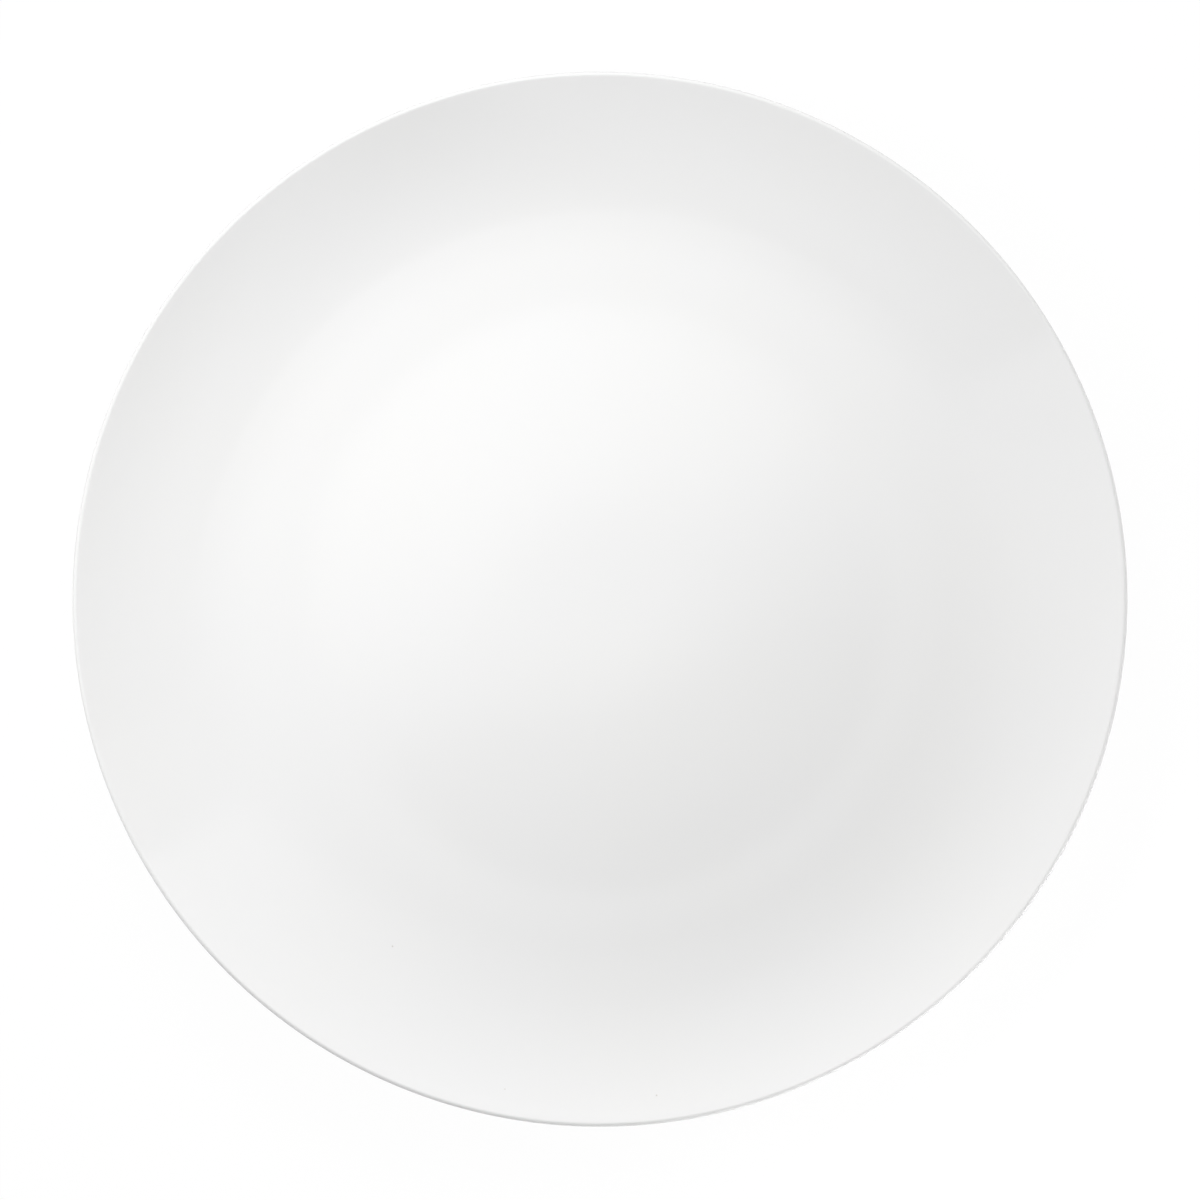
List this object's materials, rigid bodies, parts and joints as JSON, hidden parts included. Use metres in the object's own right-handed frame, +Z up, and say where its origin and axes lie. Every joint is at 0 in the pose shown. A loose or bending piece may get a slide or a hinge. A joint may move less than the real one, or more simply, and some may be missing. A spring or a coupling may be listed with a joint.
{
  "type": "charger plate",
  "caption": "Round white porcelain charger plate with a wide flat well, a shallow shoulder and an upturned rimless edge, glazed all over except for its bare foot ring.",
  "frame": {"origin": "on the table, under the middle of the plate", "axes": "+Z up along the axis that the plate is turned about; X and Y lie in the table"},
  "size_m": [0.32, 0.32, 0.0228],
  "materials": {
    "biscuit_porcelain": "matt fired clay, ground smooth where it stands on the table",
    "white_glaze": "clear gloss over a white body"
  },
  "bodies": {
    "root": {"porcelain_body": "biscuit_porcelain", "glaze_coat": "white_glaze", "recess_glaze": "white_glaze"}
  },
  "joints": []
}
